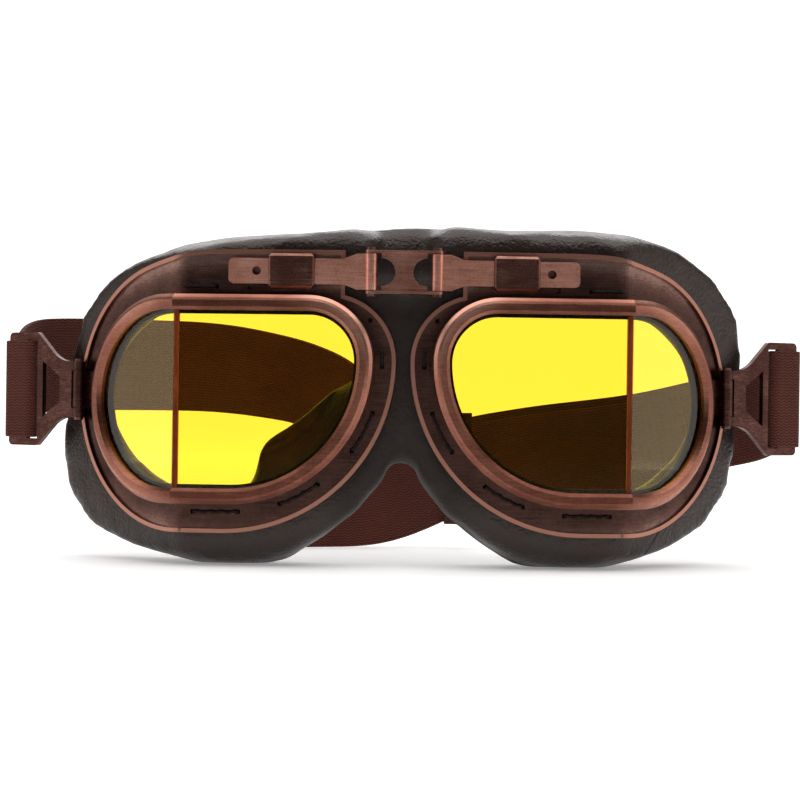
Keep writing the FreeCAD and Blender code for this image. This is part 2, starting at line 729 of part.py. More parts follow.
def buckle():
    plate = buckle_plate()

    def upright(edge):
        return abs(direction(edge).y) > 0.5

    def at_flare(edge):
        return upright(edge) and abs(edge.Vertexes[0].X - size.buckle_flare_start) < size.seat_gap

    def at_end(edge):
        return upright(edge) and edge.Vertexes[0].X > slot_start - size.seat_gap and (
            abs(edge.Vertexes[0].Z) > buckle_end_height / 2 - size.seat_gap)

    plate = rounded("buckle_flared", plate, size.flare_round, at_flare)
    plate = rounded("buckle_corners", plate, size.buckle_round, at_end)
    half = "Sizes.buckle_root_height / 2"
    knuckle = rod("buckle_knuckle", "Sizes.temple_knuckle_radius", "Sizes.buckle_root_height",
                  "0", "0", f"-{half}")
    room = box("buckle_lug_room", "2 * (Sizes.temple_knuckle_radius + Sizes.strap_gap)",
               "2 * (Sizes.temple_knuckle_radius + Sizes.overrun)",
               "Sizes.lug_height + 2 * Sizes.knuckle_gap",
               "-Sizes.temple_knuckle_radius - Sizes.strap_gap",
               "-Sizes.temple_knuckle_radius - Sizes.overrun",
               "-Sizes.lug_height / 2 - Sizes.knuckle_gap")
    bore = rod("buckle_bore", "Sizes.temple_pin_radius + Sizes.running_gap",
               "Sizes.buckle_root_height + 2 * Sizes.overrun", "0",
               "0", f"-{half} - Sizes.overrun")
    made = cut("buckle_cut", fuse("buckle_solid", [plate, knuckle]), fuse("buckle_holes", [room, bore]))
    made.Placement = buckle_turn
    return keep("right_buckle", made)


def strap_loop():
    # the sewn end of the strap, a flat ring round the outer bar of the buckle
    outer = loop_radius + size.strap_thickness / 2
    inner = loop_radius - size.strap_thickness / 2
    start = bar_start + size.buckle_thickness / 2
    end = size.buckle_length - size.buckle_thickness / 2
    low = -size.strap_width / 2

    def stadium(radius):
        straight = Part.makeBox(end - start, 2 * radius, size.strap_width, V(start, -radius, low))
        rounds = [Part.makeCylinder(radius, size.strap_width, V(x, 0, low)) for x in (start, end)]
        return straight.fuse(rounds).removeSplitter()

    return feature("right_strap_loop", stadium(outer).cut(stadium(inner)), buckle_turn)


def rounded_path(points, share):
    # straight runs joined by tangent arcs; each arc takes up to the share of its shorter run
    edges = []
    start = points[0]
    for before, corner, after in zip(points, points[1:], points[2:]):
        back = (before - corner).normalize()
        ahead = (after - corner).normalize()
        trim = share * min((before - corner).Length, (after - corner).Length)
        bisector = (back + ahead).normalize()
        half = back.getAngle(ahead) / 2
        centre = corner + bisector * (trim / math.cos(half))
        middle = centre - bisector * (trim * math.tan(half))
        first, last = corner + back * trim, corner + ahead * trim
        edges += [line(start, first), arc(first, middle, last)]
        start = last
    return Part.Wire(edges + [line(start, points[-1])])


ROUND_SHARE = 0.45


def strap(label, plan, levels):
    # upright band: the plan route thickened and extruded, cut to a band that rises and falls along x
    span = size.strap_span
    route = rounded_path([V(span * x, span * y, 0) for x, y in plan], ROUND_SHARE)
    band = route.makeOffset2D(size.strap_thickness, 0, True, True)
    band = band.extrude(V(0, 0, 2 * size.reach))
    band.translate(V(0, 0, -size.reach))
    low = rounded_path([V(span * x, 0, span * z - size.strap_width / 2) for x, z in levels], ROUND_SHARE)
    high = low.copy()
    high.translate(V(0, 0, size.strap_width))
    ends = [line(a, a + V(0, 0, size.strap_width)) for a in (low.Edges[0].firstVertex().Point,
                                                            low.Edges[-1].lastVertex().Point)]
    side = Part.Face(Part.Wire(Part.__sortEdges__(low.Edges + high.Edges + ends)))
    prism = side.extrude(V(0, 2 * size.reach, 0))
    return feature(label, band.common(prism))


def adjuster():
    # flat sleeve that holds the overlapping ends of both bands
    start = size.adjuster_x - size.adjuster_length / 2
    part = Part.makeBox(size.adjuster_length, 2 * size.reach, 2 * size.reach,
                        V(start, -size.reach, -size.reach))
    room = FreeCAD.BoundBox()
    for label in ("right_strap", "left_strap"):
        room.add(pieces[label].Shape.common(part).BoundBox)
    room.enlarge(size.strap_gap)

    def block(length, grow):
        return Part.makeBox(length, room.YLength + 2 * grow, room.ZLength + 2 * grow,
                            V(size.adjuster_x - length / 2, room.YMin - grow, room.ZMin - grow))

    sleeve = block(size.adjuster_length, size.adjuster_wall)
    upright = [e for e in sleeve.Edges if abs(direction(e).z) > 0.5]
    sleeve = sleeve.makeFillet(size.adjuster_round, upright)
    return feature("strap_adjuster", sleeve.cut(block(size.adjuster_length + 2 * size.overrun, 0)))


def gusset():
    # leather wedge between the two pads, with a bowed front
    slope = math.tan(math.radians(size.nose_angle))

    def half(depth):
        return size.nose_clear + depth * slope - size.pad_gap

    low = size.gusset_bottom
    front = size.gusset_front
    back = front + size.gusset_thickness
    corners = [V(-half(front), front, low), V(half(front), front, low), V(half(back), back, low),
               V(-half(back), back, low)]
    crown = V(0, front - size.gusset_crown, low)
    hollow = V(0, back - size.gusset_crown, low)
    outline = Part.Wire([
        arc(corners[0], crown, corners[1]),
        line(corners[1], corners[2]),
        arc(corners[2], hollow, corners[3]),
        line(corners[3], corners[0]),
    ])
    return feature("nose_gusset", Part.Face(outline).extrude(V(0, 0, size.gusset_top - low)))


temple_level = rim_middle + size.temple_rise
hinge = side_turn.multVec(V(temple_pin_x, size.temple_pin_depth, temple_level))
buckle_turn = FreeCAD.Placement(hinge, FreeCAD.Rotation(UP, size.buckle_angle))

rim()
lenses()
gasket()
eyecup()
face_pad()
keeper()
arm()
bridge_pin()
temple_lug()
temple_pin()
buckle()
strap_loop()
for label in [name for name in pieces if name.startswith("right_")]:
    mirrored(label.replace("right_", "left_"), pieces[label])
link()
gusset()
strap("right_strap", RIGHT_PLAN_SHARES, RIGHT_LEVEL_SHARES)
strap("left_strap", LEFT_PLAN_SHARES, LEFT_LEVEL_SHARES)
adjuster()

doc.recompute()
# The origin lies on the floor under the middle of the whole object.
whole = Part.makeCompound([made.Shape for made in pieces.values()]).optimalBoundingBox()
for label, made in pieces.items():
    if made.TypeId != "Part::Mirroring":
        made.Placement.Base = made.Placement.Base - V(0, whole.Center.y, 0)
doc.recompute()
for made in doc.Objects:
    if "Invalid" in made.State or "Error" in made.State:
        raise RuntimeError(f"{made.Label} failed: {made.State}")
for label, made in pieces.items():
    if made.Shape.isNull() or not made.Shape.isValid():
        raise RuntimeError(f"{label} has no valid shape")
    print(label, len(made.Shape.Solids), round(made.Shape.Volume, 2))
os.makedirs("parts", exist_ok=True)
for label, made in pieces.items():
    made.Shape.exportStep(f"parts/{label}.step")
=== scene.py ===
import bpy
import json
import math
from mathutils import Matrix, Vector
from mathutils.bvhtree import BVHTree


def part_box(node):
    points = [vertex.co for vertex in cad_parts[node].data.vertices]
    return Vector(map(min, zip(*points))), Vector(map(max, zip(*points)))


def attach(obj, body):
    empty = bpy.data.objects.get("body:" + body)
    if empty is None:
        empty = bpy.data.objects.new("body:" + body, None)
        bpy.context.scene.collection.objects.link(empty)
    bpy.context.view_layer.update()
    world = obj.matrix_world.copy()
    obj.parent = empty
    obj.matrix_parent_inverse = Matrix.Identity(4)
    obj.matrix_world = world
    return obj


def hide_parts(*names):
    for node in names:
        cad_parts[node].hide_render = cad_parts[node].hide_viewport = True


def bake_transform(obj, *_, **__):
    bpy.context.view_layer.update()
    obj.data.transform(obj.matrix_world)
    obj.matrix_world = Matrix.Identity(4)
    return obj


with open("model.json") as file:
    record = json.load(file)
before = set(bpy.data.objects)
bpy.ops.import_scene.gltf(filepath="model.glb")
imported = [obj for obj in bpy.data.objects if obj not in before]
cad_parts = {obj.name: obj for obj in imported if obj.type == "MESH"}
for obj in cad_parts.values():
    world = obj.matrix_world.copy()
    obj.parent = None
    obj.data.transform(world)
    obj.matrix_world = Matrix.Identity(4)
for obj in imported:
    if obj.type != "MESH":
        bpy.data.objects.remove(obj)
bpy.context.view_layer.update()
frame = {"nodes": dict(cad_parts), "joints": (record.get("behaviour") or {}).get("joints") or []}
scene = bpy.context.scene
nodes = frame["nodes"]
mm = 0.001
sides = {"left": -1, "right": 1}
joints = {joint["name"]: joint for joint in frame["joints"]}

# the flat front of the rims, found from the depth of the bridge pins behind it
bridgePinDepth = 4.0
frontY = joints["right_bridge_hinge"]["pos_m"][1] - bridgePinDepth * mm
# each cup is turned about its bridge pin and bent back at the seam of its lenses: x of both, degrees
cupTurn = dict(x=8.8, angle=4.0, seam=61.2, bend=36.0)
mergeGap = 0.01  # corners of a copied CAD mesh that are one


def place(x, y, z):
    return Vector((x * mm, frontY + y * mm, z * mm))


def inMetres(values):
    return [value * mm for value in values]


def deselect():
    bpy.ops.object.select_all(action="DESELECT")


def pick(piece):
    deselect()
    piece.select_set(True)
    bpy.context.view_layer.objects.active = piece


def applied(piece, kind, **settings):
    pick(piece)
    modifier = piece.modifiers.new(kind.lower(), kind)
    for name, value in settings.items():
        setattr(modifier, name, value)
    bpy.ops.object.modifier_apply(modifier=modifier.name)


def named(piece, name):
    piece.name = name
    piece.data.name = name
    return piece


def smoothed(piece, angle=40):
    pick(piece)
    bpy.ops.object.shade_smooth_by_angle(angle=math.radians(angle))


def painted(piece, finish):
    piece.data.materials.clear()
    piece.data.materials.append(finishes[finish])


def copied(name, *cadNodes):
    deselect()
    for cadNode in cadNodes:
        twin = bpy.data.objects.new(name, nodes[cadNode].data.copy())
        scene.collection.objects.link(twin)
        twin.select_set(True)
        bpy.context.view_layer.objects.active = twin
    if len(cadNodes) > 1:
        bpy.ops.object.join()
    piece = named(bpy.context.view_layer.objects.active, name)
    piece.data.materials.clear()
    pick(piece)
    bpy.ops.object.mode_set(mode="EDIT")
    bpy.ops.mesh.select_all(action="SELECT")
    bpy.ops.mesh.remove_doubles(threshold=mergeGap * mm)
    bpy.ops.object.mode_set(mode="OBJECT")
    return piece


def surfaceOf(*cadNodes):
    # search tree over the faces of CAD nodes
    twin = copied("surface", *cadNodes)
    tree = BVHTree.FromPolygons([v.co.copy() for v in twin.data.vertices],
                                [tuple(p.vertices) for p in twin.data.polygons])
    bpy.data.objects.remove(twin)
    return tree


def ease(value, low, high):
    share = min(max((value - low) / (high - low), 0), 1)
    return share * share * (3 - 2 * share)


def valueAt(table, key):
    for (k0, v0), (k1, v1) in zip(table, table[1:]):
        if k0 <= key <= k1:
            return v0 + (v1 - v0) * (key - k0) / (k1 - k0)
    return None


# finishes
class Field:
    def __init__(self, tree, socket=None):
        self.tree = tree
        self.socket = socket

    def node(self, kind, settings=None, inputs=None, output=0):
        made = self.tree.nodes.new("ShaderNode" + kind)
        for name, value in (settings or {}).items():
            if name == "stops":
                ramp = made.color_ramp
                while len(ramp.elements) < len(value):
                    ramp.elements.new(1)
                for element, (position, colour) in zip(ramp.elements, value):
                    element.position = position
                    element.color = (*colour, 1)
            else:
                setattr(made, name, value)
        for name, value in (inputs or {}).items():
            self.feed(made.inputs[name], value)
        return Field(self.tree, made.outputs[output])

    def feed(self, socket, value):
        if isinstance(value, Field):
            self.tree.links.new(value.socket, socket)
        else:
            socket.default_value = value

    def math(self, operation, *values):
        return self.node("Math", {"operation": operation}, dict(enumerate(values)))

    def __add__(self, other):
        return self.math("ADD", self, other)

    def __sub__(self, other):
        return self.math("SUBTRACT", self, other)

    def __rsub__(self, other):
        return self.math("SUBTRACT", other, self)

    def __mul__(self, other):
        return self.math("MULTIPLY", self, other)

    def __truediv__(self, other):
        return self.math("DIVIDE", self, other)

    __radd__ = __add__
    __rmul__ = __mul__

    def __abs__(self):
        return self.math("ABSOLUTE", self)

    def coords(self):
        return self.node("TexCoord", {}, {}, "Object")

    def split(self):
        return [self.node("SeparateXYZ", {}, {0: self}, axis) for axis in range(3)]

    def joined(self, x, y, z):
        return self.node("CombineXYZ", {}, {0: x, 1: y, 2: z})

    def spread(self, low, high, start=0, end=1):
        return self.node("MapRange", {"interpolation_type": "SMOOTHSTEP"},
                         {0: self, 1: low, 2: high, 3: start, 4: end})

    def noise(self, coords, scale, detail=3, roughness=0.5):
        return self.node("TexNoise", {}, {"Vector": coords, "Scale": scale, "Detail": detail,
                                          "Roughness": roughness})

    def streaks(self, parts, scales, detail, roughness):
        # noise drawn out differently along each direction
        drawnOut = self.joined(*(part * scale for part, scale in zip(parts, scales)))
        return self.noise(drawnOut, 1.0, detail, roughness)

    def cells(self, coords, scale):
        return self.node("TexVoronoi", {}, {"Vector": coords, "Scale": scale})

    def tint(self, *stops):
        return self.node("ValToRGB", {"stops": stops}, {0: self})

    def blend(self, first, second):
        return self.node("Mix", {"data_type": "RGBA"}, {0: self, 6: first, 7: second}, 2)

    def bump(self, strength, distance):
        return self.node("Bump", {}, {"Strength": strength, "Distance": distance, "Height": self})


def startFinish(name, fixed):
    material = bpy.data.materials.new(name)
    material.use_nodes = True
    shader = material.node_tree.nodes["Principled BSDF"]
    for socket, value in fixed.items():
        shader.inputs[socket].default_value = value
    return material, shader, Field(material.node_tree)


def grey(value):
    return (value, value, value)


noiseSpan = (0.3, 0.7)  # most of a noise lies between these

# tones from hollow to ridge and mean roughness of each copper piece; for the two round the eyes also edge, the
# reach over which painted shade next to the lens opening gives way to painted light outwards, as a share of the
# opening
copperTones = {
    "rim": dict(
        dark=(0.130, 0.046, 0.031), mid=(0.335, 0.136, 0.093), light=(0.60, 0.31, 0.232), rough=0.33,
        edge=(1.02, 1.22), low=0.08, nose=0.14,  # painted shade below, painted light at the nose
    ),
    "cup": dict(
        dark=(0.028, 0.014, 0.011), mid=(0.125, 0.065, 0.053), light=(0.36, 0.228, 0.192), rough=0.36,
        edge=(1.20, 1.50), lip=5.35, ridge=(0.42, 0.200, 0.146),  # depth of the raised edge and tone of the painted highlight along it
    ),
    "arm": dict(dark=(0.46, 0.180, 0.128), mid=(0.80, 0.370, 0.275), light=(0.95, 0.58, 0.47), rough=0.35),
    "link": dict(dark=(0.26, 0.100, 0.070), mid=(0.48, 0.220, 0.165), light=(0.74, 0.42, 0.33), rough=0.34),
    "keeper": dict(dark=(0.10, 0.042, 0.031), mid=(0.20, 0.090, 0.068), light=(0.44, 0.24, 0.18), rough=0.30),
    "buckle": dict(dark=(0.040, 0.017, 0.014), mid=(0.080, 0.035, 0.028), light=(0.21, 0.108, 0.086), rough=0.34),
}
copperCare = dict(
    brush=(90, 900, 2600), tooth=2600, cloud=130, shares=(0.36, 0.32, 0.32), stops=(0.32, 0.50, 0.68),
    edgeShare=0.55, edgeShade=(0.12, 0.36), lowReach=(-1.2, -0.4), noseReach=(-1.12, -0.75), lipFade=0.25,
    polish=(0.12, 0.10), meanPolish=0.11, bump=(0.16, 0.00010),
)


def lipRidge(field, x, y, lip):
    # depth behind the front of the cup, on whichever side of the bend is nearer
    turn, bend = math.radians(cupTurn["angle"]), math.radians(cupTurn["bend"])
    aside = abs(x) - cupTurn["x"] * mm
    back = y - (frontY + bridgePinDepth * mm)
    depth = back * math.cos(turn) - aside * math.sin(turn) + bridgePinDepth * mm
    past = aside * math.cos(turn) + back * math.sin(turn) + (cupTurn["x"] - cupTurn["seam"]) * mm
    folded = depth * math.cos(bend) - past * math.sin(bend)
    return 1 - field.math("MINIMUM", depth, folded).spread(lip * mm, (lip + copperCare["lipFade"]) * mm)


def copperFinish(name):
    # brushed along x, with a fine tooth and darker clouds
    tone = copperTones[name]
    material, shader, field = startFinish(f"{name}_copper", {"Metallic": 1.0})
    spot = field.coords()
    x, y, z = spot.split()
    brushed = field.streaks((x, y, z), copperCare["brush"], 4, 0.6)
    tooth = field.noise(spot, copperCare["tooth"], 3, 0.6)
    cloud = field.noise(spot, copperCare["cloud"], 4, 0.6)
    brushShare, toothShare, cloudShare = copperCare["shares"]
    shade = brushed * brushShare + tooth * toothShare + cloud * cloudShare
    # painted shade: darker next to the lens opening, lighter outwards across rim and cup
    if "edge" in tone:
        low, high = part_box("right_front_lens")[0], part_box("right_side_lens")[1]
        across = (abs(x) - (low.x + high.x) / 2) / ((high.x - low.x) / 2)
        up = (z - (low.z + high.z) / 2) / ((high.z - low.z) / 2)
        reach = field.math("SQRT", across * across + up * up)
        shade = shade * copperCare["edgeShare"] + reach.spread(*tone["edge"], *copperCare["edgeShade"])
    # painted shade towards the bottom of the rim and painted light towards the nose
    if "nose" in tone:
        shade = shade - up.spread(*copperCare["lowReach"], tone["low"], 0)
        shade = shade + across.spread(*copperCare["noseReach"], tone["nose"], 0)
    colour = shade.tint(*zip(copperCare["stops"], (tone["dark"], tone["mid"], tone["light"])))
    # painted highlight along the raised edge of the cup
    if "lip" in tone:
        colour = lipRidge(field, x, y, tone["lip"]).blend(colour, (*tone["ridge"], 1))
    brushPolish, toothPolish = copperCare["polish"]
    polish = (brushed * brushPolish + tooth * toothPolish) + (tone["rough"] - copperCare["meanPolish"])
    field.feed(shader.inputs["Base Color"], colour)
    field.feed(shader.inputs["Roughness"], polish)
    field.feed(shader.inputs["Normal"], (brushed * 0.5 + tooth * 0.5).bump(*copperCare["bump"]))
    return material


# joint is the darker line along the lens seam, measured inwards from the outer edge of the front lens
lensCare = dict(
    yellow=(1.0, 0.745, 0.042), joint=(0.40, 0.05, 0.003), jointFrom=(-0.5, -0.3), jointTo=(0.9, 1.1),
    smear=90, smearSpan=(0.55, 0.8), rough=(0.01, 0.02),
)


def lensFinish():
    material, shader, field = startFinish(
        "yellow_acrylic", {"Metallic": 0.0, "IOR": 1.46, "Transmission Weight": 1.0})
    spot = field.coords()
    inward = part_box("right_front_lens")[1].x - abs(spot.split()[0])
    line = inward.spread(*inMetres(lensCare["jointFrom"])) * (1 - inward.spread(*inMetres(lensCare["jointTo"])))
    smear = field.noise(spot, lensCare["smear"], 5, 0.6)
    field.feed(shader.inputs["Base Color"], line.blend((*lensCare["yellow"], 1), (*lensCare["joint"], 1)))
    field.feed(shader.inputs["Roughness"], smear.spread(*lensCare["smearSpan"], *lensCare["rough"]))
    return material


amberCare = dict(
    scuff=(900, 900, 160), rough=(0.3, 0.6),
    stops=((0.40, (0.16, 0.022, 0.0003)), (0.62, (0.26, 0.040, 0.0006)), (0.86, (0.70, 0.17, 0.012))),
)


def amberFinish():
    material, shader, field = startFinish(
        "amber_glue", {"Metallic": 0.0, "Transmission Weight": 0.35, "Specular IOR Level": 0.04})
    scuff = field.streaks(field.coords().split(), amberCare["scuff"], 5, 0.7)
    field.feed(shader.inputs["Base Color"], scuff.tint(*amberCare["stops"]))
    field.feed(shader.inputs["Roughness"], scuff.spread(*noiseSpan, *amberCare["rough"]))
    return material


leatherCare = dict(
    grain=1150, crease=95, dent=75, wander=300, warp=0.0009, drawn=(520, 420, 70), rough=0.26,
    dark=(0.0075, 0.0038, 0.0028), worn=(0.024, 0.0134, 0.0106), cheek=(0.060, 0.016, 0.006), stops=(0.32, 0.78),
    creaseShare=0.6, grainShare=0.25, wanderShare=0.15, wanderRough=0.16, grainPolish=0.06, bump=(0.45, 0.00022),
    grainHeight=3.0, wanderHeight=0.8, dentHeight=7, drawnHeight=3.4, jointHeight=2.5,
)
# where the cover is drawn into fine upright creases: x, level, reach, and the share of it with full creases
creasePlaces = ((-87, 24, 22), (-86, 66, 16), (88, 24, 14))
fullCreaseShare = 0.3
# between the eyes the leather is dull, and painted shade darkens it: distance from the middle, level
dullShadeCare = dict(across=(12, 26), level=(80, 89), shade=0.22, rough=0.4)
# one sewn joint shows low on the right pad: a point on it, its slope, half width, where it ends
padJoint = dict(x=71.5, level=13.0, slope=(0.85, 0.53), half=(0.15, 0.55), top=(15, 17), inner=(55, 57), shade=0.3)
# painted reddish highlight on the left cheek behind its lens: middle, reach, depth behind the front
cheekCare = dict(x=-25, level=27, reach=(7, 17), depth=(11, 16))


def leatherFinish():
    material, shader, field = startFinish("brown_leather", {
        "Metallic": 0.0, "Specular IOR Level": 0.50, "Specular Tint": (1.0, 0.89, 0.84, 1),
        "Sheen Weight": 0.08, "Sheen Roughness": 0.35, "Sheen Tint": (0.95, 0.90, 0.87, 1),
    })
    spot = field.coords()
    x, y, z = spot.split()

    def nearTo(across, level, inner, outer):
        away, up = x - across * mm, z - level * mm
        return 1 - field.math("SQRT", away * away + up * up).spread(inner * mm, outer * mm)

    wander = field.noise(spot, leatherCare["wander"], 3, 0.5)
    drift = field.node("TexNoise", {}, {"Vector": spot, "Scale": leatherCare["wander"]}, 1)
    warp = field.node("VectorMath", {"operation": "SCALE"}, {0: drift, "Scale": leatherCare["warp"]})
    bent = field.node("VectorMath", {"operation": "ADD"}, {0: spot, 1: warp})
    grain = field.noise(bent, leatherCare["grain"], 2, 0.55)
    crease = field.noise(spot, leatherCare["crease"], 5, 0.62)
    dent = field.noise(spot, leatherCare["dent"], 3, 0.5)
    drawn = field.streaks((x, y, z), leatherCare["drawn"], 3, 0.55)
    height = (grain * leatherCare["grainHeight"] + wander * leatherCare["wanderHeight"]
              + dent * leatherCare["dentHeight"])
    for across, level, reach in creasePlaces:
        height = height + drawn * nearTo(across, level, reach * fullCreaseShare, reach) * leatherCare["drawnHeight"]
    dullShade = (1 - abs(x).spread(*inMetres(dullShadeCare["across"]))) * (1 - z.spread(*inMetres(dullShadeCare["level"])))
    slopeX, slopeZ = padJoint["slope"]
    aside = abs((x - padJoint["x"] * mm) * slopeX - (z - padJoint["level"] * mm) * slopeZ)
    joint = 1 - aside.spread(*inMetres(padJoint["half"]))
    joint = joint * (1 - z.spread(*inMetres(padJoint["top"]))) * x.spread(*inMetres(padJoint["inner"]))
    height = height - joint * leatherCare["jointHeight"]
    tone = (crease * leatherCare["creaseShare"] + grain * leatherCare["grainShare"]
            + wander * leatherCare["wanderShare"])
    # the sewn joint is darker, and painted shade darkens the leather between the eyes
    tone = tone - joint * padJoint["shade"] - dullShade * dullShadeCare["shade"]
    colour = tone.tint(*zip(leatherCare["stops"], (leatherCare["dark"], leatherCare["worn"])))
    # painted reddish highlight on the left cheek behind its lens
    deep = (y - frontY).spread(*inMetres(cheekCare["depth"]))
    cheekHighlight = nearTo(cheekCare["x"], cheekCare["level"], *cheekCare["reach"]) * deep
    uneven = wander * leatherCare["wanderRough"] - grain * leatherCare["grainPolish"]
    polish = uneven + dullShade * dullShadeCare["rough"] + leatherCare["rough"]
    field.feed(shader.inputs["Base Color"], cheekHighlight.blend(colour, (*leatherCare["cheek"], 1)))
    field.feed(shader.inputs["Roughness"], polish)
    field.feed(shader.inputs["Normal"], height.bump(*leatherCare["bump"]))
    return material


# rib, stitch and wave are lengths of the knit; painted shade on the right strap comes in and goes out over two
# spans along the band
webCare = dict(
    rib=0.80, stitch=1.15, wave=1.9, sway=0.22, wobble=(700, 3.1), fuzz=2400, patch=60,
    groove=(0.020, 0.0045, 0.0028), yarn=(0.078, 0.0185, 0.0120), thread=(0.150, 0.040, 0.026),
    stops=(0.25, 0.62, 0.95), shadeFrom=(32, 60), shadeTo=(98, 112), shadeStrength=0.22, rough=(0.68, 0.9),
    ribHeight=0.8, knotHeight=0.2, fuzzHeight=0.3, wobbleShare=0.35, bump=(0.7, 0.0003),
    heightShare=0.6, fuzzShare=0.25, patchShare=0.25,
)


def webbingFinish(name, shadeDepth):
    material, shader, field = startFinish(name, {
        "Metallic": 0.0, "Specular IOR Level": 0.2,
        "Sheen Weight": 0.08, "Sheen Roughness": 0.5, "Sheen Tint": (0.75, 0.45, 0.36, 1),
    })
    along, across = field.node("UVMap", {"uv_map": "UVMap"}, {}).split()[:2]
    sway = field.math("SINE", along * (2 * math.pi / (webCare["wave"] * mm))) * webCare["sway"]
    row = across / (webCare["rib"] * mm) + sway
    even = field.math("MODULO", field.math("FLOOR", row), 2.0)
    rib = abs(field.math("SINE", row * math.pi))
    wobbleAlong, wobbleRow = webCare["wobble"]
    wobble = field.noise(field.joined(along * wobbleAlong, row * wobbleRow, 0.0), 1.0, 2, 0.5)
    turns = along / (webCare["stitch"] * mm) + even * 0.5 + wobble * webCare["wobbleShare"]
    knot = field.math("SINE", turns * (2 * math.pi))
    height = rib * webCare["ribHeight"] + (knot * 0.5 + 0.5) * rib * webCare["knotHeight"]
    fuzz = field.noise(field.joined(along * webCare["fuzz"], across * webCare["fuzz"], 0.0), 1.0, 3, 0.6)
    patch = field.noise(field.joined(along * webCare["patch"], across * webCare["patch"], 0.0), 1.0, 3, 0.5)
    # painted shade along the middle of the right strap
    worn = along.spread(*inMetres(webCare["shadeFrom"])) * (1 - along.spread(*inMetres(webCare["shadeTo"]))) * shadeDepth
    tone = height * webCare["heightShare"] + fuzz * webCare["fuzzShare"] + patch * webCare["patchShare"] - worn
    colour = tone.tint(*zip(webCare["stops"], (webCare["groove"], webCare["yarn"], webCare["thread"])))
    field.feed(shader.inputs["Base Color"], colour)
    field.feed(shader.inputs["Roughness"], fuzz.spread(*noiseSpan, *webCare["rough"]))
    field.feed(shader.inputs["Normal"], (height + fuzz * webCare["fuzzHeight"]).bump(*webCare["bump"]))
    return material


# small plain pieces with a mottled finish
mottleCare = {
    "black_foam": dict(
        fixed={"Metallic": 0.0}, scale=500, detail=4, rough=(0.7, 0.92), pores=1400, bump=(0.5, 0.0003),
        stops=((0.3, (0.004, 0.003, 0.003)), (0.8, (0.016, 0.012, 0.010))),
    ),
    "waxed_thread": dict(
        fixed={"Metallic": 0.0, "Specular IOR Level": 0.2}, scale=1500, detail=3, rough=(0.5, 0.8),
        bump=(0.6, 0.0003), stops=((0.35, (0.004, 0.002, 0.0015)), (0.7, (0.017, 0.007, 0.005))),
    ),
    "dark_pin": dict(
        fixed={"Metallic": 1.0}, scale=900, detail=4, rough=(0.3, 0.5),
        stops=((0.3, (0.10, 0.050, 0.040)), (0.75, (0.30, 0.17, 0.14))),
    ),
}


def mottledFinish(name):
    care = mottleCare[name]
    material, shader, field = startFinish(name, care["fixed"])
    spot = field.coords()
    cloud = field.noise(spot, care["scale"], care["detail"], 0.6)
    field.feed(shader.inputs["Base Color"], cloud.tint(*care["stops"]))
    field.feed(shader.inputs["Roughness"], cloud.spread(*noiseSpan, *care["rough"]))
    if "bump" in care:
        height = field.cells(spot, care["pores"]) if "pores" in care else cloud
        field.feed(shader.inputs["Normal"], height.bump(*care["bump"]))
    return material


finishes = {name: copperFinish(name) for name in copperTones}
finishes.update({
    "lens": lensFinish(),
    "amber": amberFinish(),
    "foam": mottledFinish("black_foam"),
    "leather": leatherFinish(),
    "webbing": webbingFinish("brown_elastic", 0.0),
    # the right strap's finish carries painted shade along its middle
    "shaded_webbing": webbingFinish("shaded_elastic", webCare["shadeStrength"]),
    "pin": mottledFinish("dark_pin"),
    "thread": mottledFinish("waxed_thread"),
})
sideFinishes = {
    "rim": "rim", "eyecup": "cup", "front_lens": "lens", "side_lens": "lens", "lens_gasket": "foam",
    "bridge_arm": "arm", "bridge_keeper": "keeper", "bridge_pin": "pin", "temple_lug": "buckle",
    "temple_pin": "pin", "buckle": "buckle",
}
nodeFinishes = {f"{side}_{part}": finish for side in sides for part, finish in sideFinishes.items()}
nodeFinishes.update({"bridge_link": "link", "strap_adjuster": "buckle"})
for part, finish in nodeFinishes.items():
    for slot in nodes[part].material_slots:
        slot.material = finishes[finish]
print("finishes done")


# leather: both pads and the bridge between them are one padded skin, parted afterwards where the joints need it
# soften and settle are factor and rounds of smoothing, pinned and loose are distances from the plates, roundFade
# is the depth over which the rounding of the front ends
leather = dict(
    voxel=1.6, soften=(0.5, 4), settle=(0.45, 2), round=9.5, roundStart=0.8, roundShare=0.97, roundFade=(9, 22),
    bridgeHalf=8.5, pinned=1.6, loose=5.0, innerSplit=4.0, outerSplit=11.0, smooth=50,
)
# how the skin is blown up: cap is the farthest a point may move, lowest keeps it off the floor
cushion = dict(
    press=2.5, grow=0.004, ruck=0.055, frames=16, cap=1.5, lowest=0.3, quality=6, mass=0.3, stiff=25, bending=2.0,
)
# outline of the bridge roll seen from the side: depth behind the front, level
bridgeOutline = (
    (7.2, 36.0), (7.2, 60.0), (7.2, 82.0), (7.6, 88.4), (9.4, 90.6), (12.0, 91.7), (16.0, 91.7), (19.4, 90.2),
    (21.6, 86.0), (21.6, 66.0), (19.6, 44.0), (16.4, 31.0), (12.0, 27.5), (8.6, 29.5),
)
